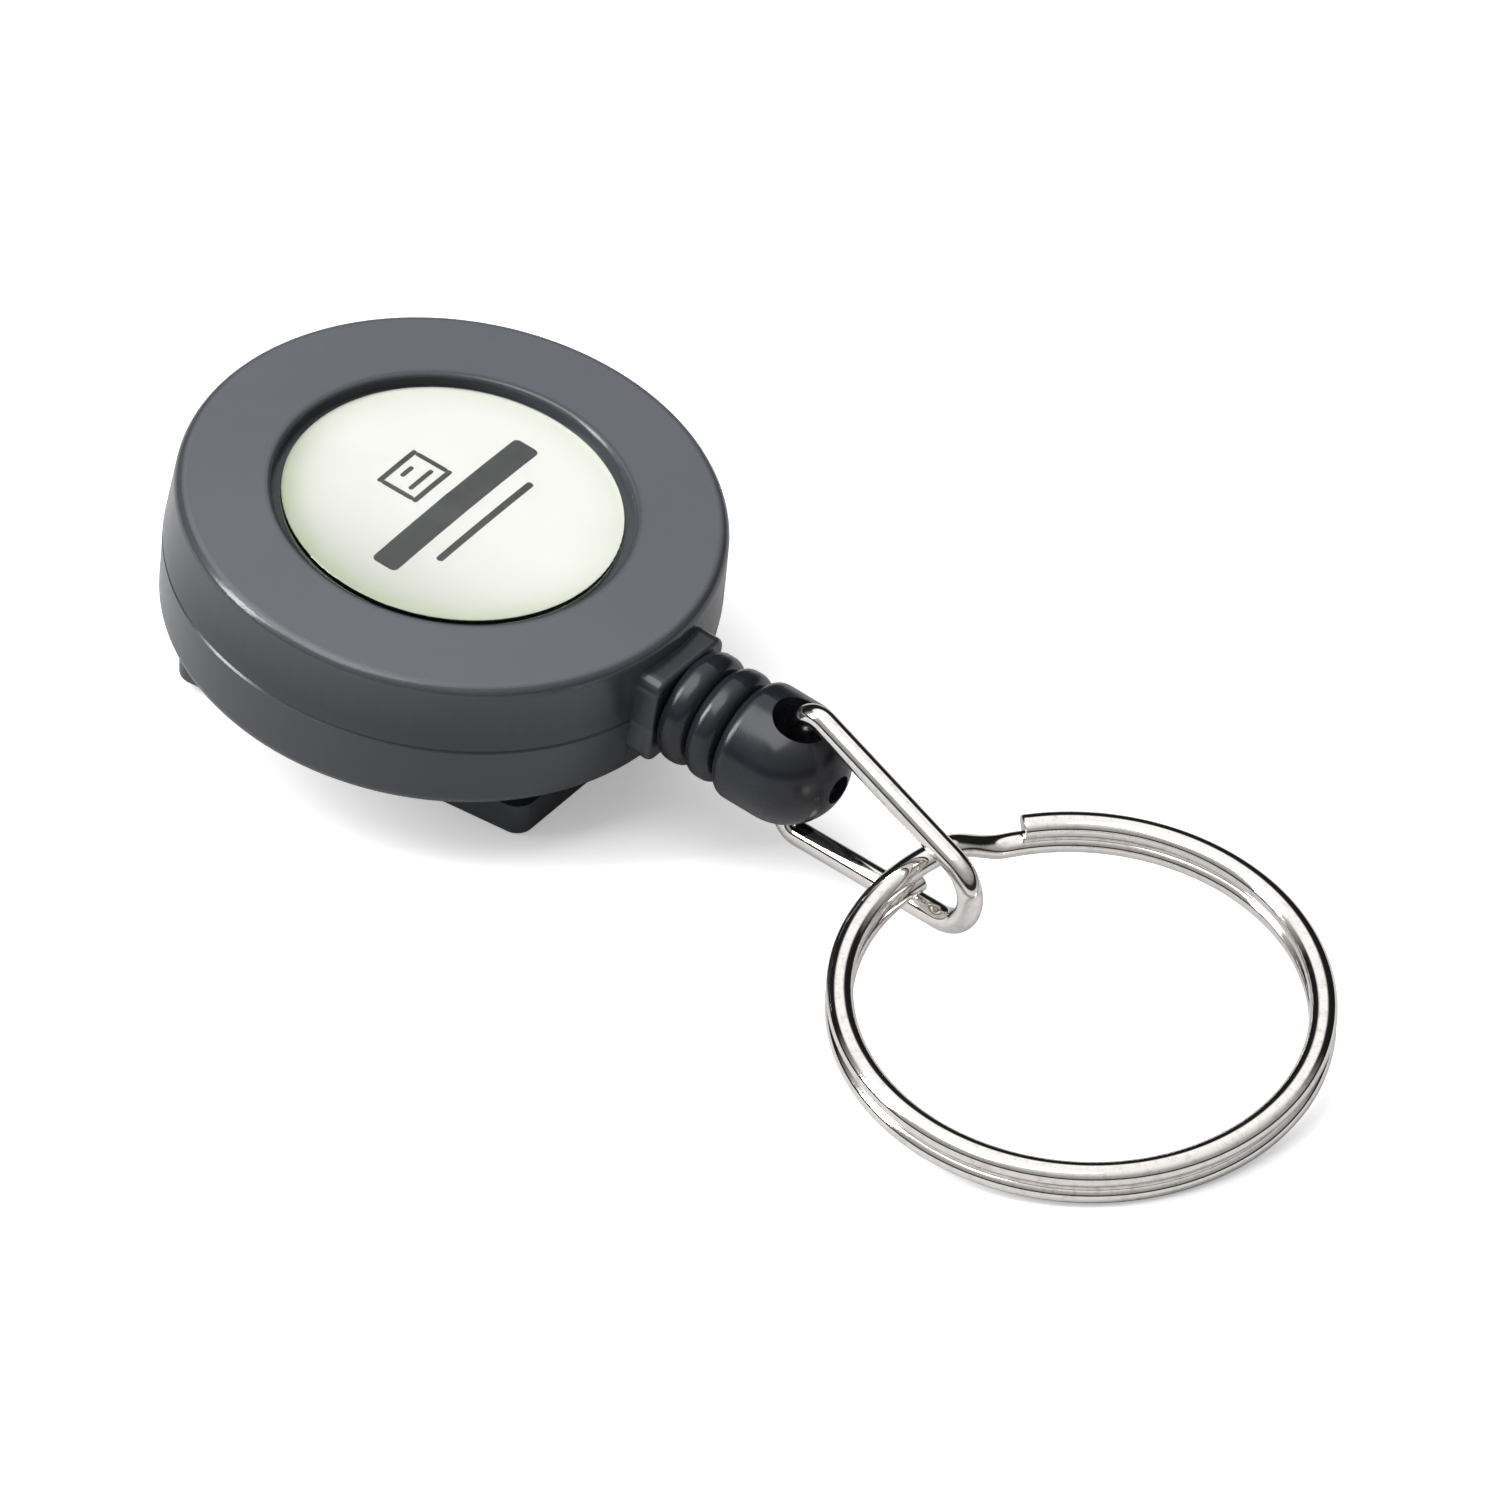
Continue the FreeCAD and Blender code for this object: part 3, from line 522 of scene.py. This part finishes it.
def wire_link_shape(radius, sides):
    """A closed loop: a short side through the bead, two long sides and a far bend."""
    half, corner, length, bend, gap = 4.8, 1.3, 11.9, 2.35, 0.1
    reach = math.hypot(length, half)
    lean = math.atan2(half, length) - math.asin(bend / reach)
    set_back = corner * math.tan((math.pi / 2 + lean) / 2)
    leg = math.sqrt(reach ** 2 - bend ** 2) - set_back
    inward = Vector((math.cos(lean), 0, -math.sin(lean)))
    back = Vector((-inward.x, 0, inward.z))
    turn = 90 + math.degrees(lean)
    short = half - set_back
    wire = Wire(Vector((0, 0, gap / 2)), Z_AXIS, (radius, radius), sides)
    wire.run((0, 0, short - gap / 2))
    wire.bend((corner, 0, short), Y_AXIS, turn, 18)
    wire.run(inward * leg, 6)
    wire.bend((length, 0, 0), Y_AXIS, 180 - 2 * math.degrees(lean), 36)
    wire.run(back * leg, 6)
    wire.bend((corner, 0, -short), Y_AXIS, turn, 18)
    wire.run((0, 0, short - gap / 2))
    return wire.close(0.1)


def torsion_spring_shape(sides):
    """One leg along the case's back, a close coil round the pin and one leg under the grip."""
    coil, wire_r, pitch, turns = 1.25, 0.3, 0.75, 6.0
    fixed_leg, fixed_angle, moving_leg, moving_angle = 7.2, 4.0, 6.0, 32.0
    total = turns * 360 + 180 - fixed_angle - moving_angle
    length = pitch * total / 360
    drift = -pitch / (2 * math.pi * coil)
    rise, fall = math.radians(fixed_angle), math.radians(moving_angle)
    way = Vector((math.cos(rise), drift, -math.sin(rise))).normalized()
    top = Vector((coil * math.sin(rise), length / 2, coil * math.cos(rise)))
    wire = Wire(top - way * fixed_leg, way, (wire_r, wire_r), sides)
    wire.run(way * fixed_leg, 4)
    wire.bend((0, 0, 0), Y_AXIS, total, int(total / 12), rise=-length)
    wire.run(Vector((-math.cos(fall), drift, -math.sin(fall))).normalized() * moving_leg, 4)
    return wire.close(0.06)


def cord_line_shape(radius, draw_out):
    """The cord from the winding to its end, straight along X from the exit's inner mouth."""
    corner_x, bend_r, lead_r, inset = 13.2, 2.5, 12.2, 0.76
    angle = math.acos(lead_r / corner_x)
    start = Vector((lead_r * math.cos(angle), lead_r * math.sin(angle), 0))
    corner = Vector((corner_x, 0, 0))
    way = (corner - start).normalized()
    turn = way.angle(X_AXIS)
    set_back = bend_r * math.tan(turn / 2)
    centre = corner + X_AXIS * set_back + Y_AXIS * bend_r
    wire = Wire(start, way, (radius, radius), 20)
    wire.run(way * ((corner - start).length - set_back), 6)
    wire.bend(centre, Z_AXIS, math.degrees(turn), 12)
    wire.run(X_AXIS * (BLEND_START - corner_x - set_back), 8)
    wire.run(X_AXIS * (BLEND_END - BLEND_START), 140)
    wire.run(X_AXIS * (KNOT_X - inset - BLEND_END), 8)
    bm = wire.close(0)
    bmesh.ops.translate(bm, verts=bm.verts, vec=(-KNOT_X, 0, 0))
    map_cord(bm, radius, draw_out, (BLEND_START - KNOT_X, BLEND_END - KNOT_X))
    return bm


def map_cord(bm, radius, draw_out, span):
    """A map in metres: round the cord, and along it as it is when drawn right out."""
    layer = bm.loops.layers.uv.new("UVMap")
    for face in bm.faces:
        turns = [math.atan2(loop.vert.co.z, loop.vert.co.y) for loop in face.loops]
        wraps = max(turns) - min(turns) > math.pi
        for loop, turn in zip(face.loops, turns):
            if wraps and turn < 0:
                turn += 2 * math.pi
            share = min(1.0, max(0.0, (loop.vert.co.x - span[0]) / (span[1] - span[0])))
            eased = share * share * (3 - 2 * share)
            loop[layer].uv = (turn * radius * MM, loop.vert.co.x * MM + eased * draw_out)


def label_bar(bm, x, y, long_x, long_y, rounding, height):
    """A flat bar with rounded corners, centred at x, y on the label."""
    made = bmesh.ops.create_cube(bm, size=1.0, matrix=Matrix.Translation((x, y, height / 2))
                                 @ Matrix.Diagonal((long_x, long_y, height, 1)))
    points = set(made["verts"])
    uprights = [e for e in bm.edges if set(e.verts) <= points
                and abs((e.verts[0].co - e.verts[1].co).normalized().z) > 0.9]
    bmesh.ops.bevel(bm, geom=uprights, offset=rounding, segments=6, profile=0.5,
                    affect="EDGES", material=-1)


def label_print_shape(height):
    """A plain card outline with two marks in it, and plain bars where a name would go."""
    bm = bmesh.new()
    card_x, card_y, line = -2.9, 0.2, 0.34
    for side in (-1, 1):
        label_bar(bm, card_x + side * 1.25, card_y, line, 3.6, 0.15, height)
        label_bar(bm, card_x, card_y + side * 1.63, 2.2, line, 0.15, height)
    label_bar(bm, card_x - 0.55, card_y, 0.3, 1.1, 0.14, height)
    label_bar(bm, card_x + 0.45, card_y, 0.3, 2.2, 0.14, height)
    label_bar(bm, 0.2, 0.0, 1.7, 14.0, 0.35, height)
    label_bar(bm, 2.3, 0.0, 0.45, 9.0, 0.2, height)
    return bm


# ---------------------------------------------------------------- operators

def settings(context):
    return context.scene.reel_sizes, context.scene.reel_colours, context.scene.reel_studio


class REEL_OT_finishes(bpy.types.Operator):
    """Gives every carried-over node of the reel its finish"""

    bl_idname = "reel.finishes"
    bl_label = "Case, Clip and Inner Pieces"

    def execute(self, context):
        sizes, colours, _ = settings(context)
        make_finishes(colours, sizes)
        slots = {part["node"]: part["material_slot"] for part in frame["record"]["subparts"]}
        for name, node in frame["nodes"].items():
            node.data.materials.clear()
            node.data.materials.append(FINISHES[slots[name]])
        return {"FINISHED"}


class REEL_OT_split_ring(bpy.types.Operator):
    """Builds the split ring's two turns of flattened wire"""

    bl_idname = "reel.split_ring"
    bl_label = "Split Ring"

    def execute(self, context):
        sizes = settings(context)[0]
        bm = split_ring_shape(sizes.ring_radius / MM, sizes.wire_sides)
        piece = shape_object("split_ring_wire", bm, RING, "nickel_ring")
        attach(piece, "ring")
        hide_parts("split_ring")
        return {"FINISHED"}


class REEL_OT_wire_link(bpy.types.Operator):
    """Builds the wire link that hangs in the bead"""

    bl_idname = "reel.wire_link"
    bl_label = "Wire Link"

    def execute(self, context):
        sizes = settings(context)[0]
        bm = wire_link_shape(sizes.link_wire / MM, sizes.wire_sides)
        piece = shape_object("wire_link_loop", bm, LINK, "nickel_wire")
        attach(piece, "link")
        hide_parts("wire_link")
        return {"FINISHED"}


class REEL_OT_torsion_spring(bpy.types.Operator):
    """Builds the clip's torsion spring"""

    bl_idname = "reel.torsion_spring"
    bl_label = "Clip Spring"

    def execute(self, context):
        piece = shape_object("torsion_spring", torsion_spring_shape(16), PIN, "spring_steel")
        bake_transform(piece)
        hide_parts("clip_spring")
        return {"FINISHED"}


class REEL_OT_cord(bpy.types.Operator):
    """Builds the braided cord"""

    bl_idname = "reel.cord"
    bl_label = "Cord"

    def execute(self, context):
        sizes = settings(context)[0]
        bm = cord_line_shape(sizes.cord_radius / MM, sizes.cord_length)
        piece = shape_object("braided_cord_line", bm, KNOT, "cord_line")
        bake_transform(piece)
        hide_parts("cord_lead")
        return {"FINISHED"}


class REEL_OT_label(bpy.types.Operator):
    """Prints the plain card outline and bars on the label"""

    bl_idname = "reel.label"
    bl_label = "Label Print"

    def execute(self, context):
        sizes = settings(context)[0]
        surface = Matrix.Translation((0, 0, LABEL_TOP * MM))
        bm = label_print_shape(sizes.print_height / MM)
        piece = shape_object("label_ink_print", bm, CASE @ surface, "ink")
        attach(piece, "case")
        return {"FINISHED"}


class REEL_OT_stage(bpy.types.Operator):
    """Sets the pale floor, the soft lamps, the surroundings and the camera"""

    bl_idname = "reel.stage"
    bl_label = "Studio"

    def execute(self, context):
        studio = settings(context)[2]
        make_floor()
        make_surroundings(context.scene, studio.azimuth)
        middle, height, lamp_distance = (CAD_BOX[0] + CAD_BOX[1]) / 2, 0.008, 0.8
        centre = Vector((middle.x, middle.y, height))
        across = Vector((math.cos(studio.azimuth), math.sin(studio.azimuth), 0))
        toward = Vector((across.y, -across.x, 0))
        for name, way, wide, tall, power in (
                ("top_softbox", -0.3 * across + 0.12 * toward + Z_AXIS, 0.7, 0.55, 4.2),
                ("left_softbox", -0.85 * across + 0.08 * toward + 0.6 * Z_AXIS, 0.22, 0.5, 5.5)):
            make_lamp(name, centre + way.normalized() * lamp_distance, centre, wide, tall, power)
        make_camera(context.scene, studio)
        context.scene.view_settings.view_transform = "Standard"
        return {"FINISHED"}


def make_floor():
    bm = bmesh.new()
    bmesh.ops.create_grid(bm, x_segments=1, y_segments=1, size=4.0)
    mesh = bpy.data.meshes.new("floor")
    bm.to_mesh(mesh)
    bm.free()
    floor = bpy.data.objects.new("floor", mesh)
    floor.location.z = -0.00002
    bpy.context.scene.collection.objects.link(floor)
    finish = Finish("pale_floor", (0.45, 0.45, 0.452), 0.8, Specular_IOR_Level=0.1,
                    Emission_Color=(1, 1, 1, 1))
    seen = finish.add("LightPath", outlet="Is Camera Ray")
    finish.colour(finish.tint(seen, (0.5, 0.5, 0.505), (0.93, 0.93, 0.935)))
    finish.feed(finish.shader.inputs["Emission Strength"], finish.math("MULTIPLY", seen, 0.35))
    mesh.materials.append(finish.material)


def make_surroundings(scene, azimuth):
    """White all round to the camera; reflections see a dark room, darker on the far side, with a
    bright ceiling."""
    world = bpy.data.worlds.new("studio_room")
    world.use_nodes = True
    nodes, links = world.node_tree.nodes, world.node_tree.links
    spot = nodes.new("ShaderNodeTexCoord").outputs["Generated"]
    split = nodes.new("ShaderNodeSeparateXYZ")
    links.new(spot, split.inputs[0])

    def bands(*stops):
        ramp = nodes.new("ShaderNodeValToRGB")
        links.new(split.outputs["Z"], ramp.inputs[0])
        ends = ramp.color_ramp.elements
        ends[0].position, ends[1].position = 0.0, 1.0
        for position, _ in stops[1:-1]:
            ends.new(position)
        for stop, (position, grey) in zip(ends, stops):
            stop.color = (grey, grey, grey * 1.01, 1)
        return ramp.outputs[0]

    def mixed(share, first):
        """The first colour, going to the second by share; the second input is white until it is linked."""
        mix = nodes.new("ShaderNodeMix")
        mix.data_type = "RGBA"
        mix.inputs[7].default_value = (1, 1, 1, 1)
        links.new(share, mix.inputs[0])
        links.new(first, mix.inputs[6])
        return mix

    near = bands((0.0, 0.6), (0.02, 0.02), (0.2, 0.02), (0.3, 0.25), (0.6, 0.35), (1.0, 0.9))
    far = bands((0.0, 0.6), (0.02, 0.01), (0.5, 0.01), (0.68, 0.015), (0.76, 0.9), (1.0, 0.95))
    beyond = nodes.new("ShaderNodeVectorMath")
    beyond.operation = "DOT_PRODUCT"
    beyond.inputs[1].default_value = (-math.sin(azimuth), math.cos(azimuth), 0)
    links.new(spot, beyond.inputs[0])
    share = nodes.new("ShaderNodeMapRange")
    links.new(beyond.outputs["Value"], share.inputs[0])
    share.inputs[1].default_value, share.inputs[2].default_value = 0.15, 0.4
    path = nodes.new("ShaderNodeLightPath")
    room = mixed(share.outputs[0], near)
    links.new(far, room.inputs[7])
    seen = mixed(path.outputs["Is Camera Ray"], room.outputs[2])
    background = nodes["Background"]
    links.new(seen.outputs[2], background.inputs[0])
    background.inputs[1].default_value = 1.25
    scene.world = world


def make_lamp(name, spot, target, wide, tall, power):
    lamp = bpy.data.lights.new(name, "AREA")
    lamp.shape = "RECTANGLE"
    lamp.size, lamp.size_y, lamp.energy = wide, tall, power
    holder = bpy.data.objects.new(name, lamp)
    holder.location = spot
    holder.rotation_euler = (target - spot).to_track_quat("-Z", "Y").to_euler()
    bpy.context.scene.collection.objects.link(holder)


def make_camera(scene, studio):
    """A long lens at the viewing angle, on the middle of what it sees of the object."""
    a, e = studio.azimuth, studio.elevation
    back = Vector((math.sin(a) * math.cos(e), -math.cos(a) * math.cos(e), math.sin(e)))
    right = Vector((math.cos(a), math.sin(a), 0))
    up = back.cross(right)
    face = CASE @ Vector((0, 0, FACE_TOP * MM))
    aside, below = 0.01702, 0.01425
    target = face + right * aside - up * below
    camera = bpy.data.cameras.new("camera")
    camera.sensor_width = 36.0
    camera.lens = 36.0 * studio.distance / studio.width
    camera.clip_start, camera.clip_end = 0.05, 50.0
    holder = bpy.data.objects.new("camera", camera)
    holder.location = target + back * studio.distance
    holder.rotation_euler = back.to_track_quat("Z", "Y").to_euler()
    scene.collection.objects.link(holder)
    scene.camera = holder


class REEL_PT_panel(bpy.types.Panel):
    """Lists the reel's settings and steps"""

    bl_idname = "REEL_PT_panel"
    bl_label = "Badge Reel"
    bl_space_type = "VIEW_3D"
    bl_region_type = "UI"
    bl_category = "Badge Reel"

    def draw(self, context):
        for group in settings(context):
            box = self.layout.box()
            for name in group.__annotations__:
                box.prop(group, name)
        for operator in OPERATORS:
            self.layout.operator(operator.bl_idname)


GROUPS = (ReelSizes, ReelColours, StudioSettings)
OPERATORS = (REEL_OT_finishes, REEL_OT_split_ring, REEL_OT_wire_link, REEL_OT_torsion_spring,
             REEL_OT_cord, REEL_OT_label, REEL_OT_stage)


def register():
    for thing in (*GROUPS, *OPERATORS, REEL_PT_panel):
        bpy.utils.register_class(thing)
    bpy.types.Scene.reel_sizes = PointerProperty(type=ReelSizes)
    bpy.types.Scene.reel_colours = PointerProperty(type=ReelColours)
    bpy.types.Scene.reel_studio = PointerProperty(type=StudioSettings)


def unregister():
    del bpy.types.Scene.reel_studio
    del bpy.types.Scene.reel_colours
    del bpy.types.Scene.reel_sizes
    for thing in (REEL_PT_panel, *reversed(OPERATORS), *reversed(GROUPS)):
        bpy.utils.unregister_class(thing)


def main():
    register()
    bpy.ops.reel.finishes()
    bpy.ops.reel.split_ring()
    bpy.ops.reel.wire_link()
    bpy.ops.reel.torsion_spring()
    bpy.ops.reel.cord()
    bpy.ops.reel.label()
    bpy.ops.reel.stage()


if __name__ == "__main__":
    main()
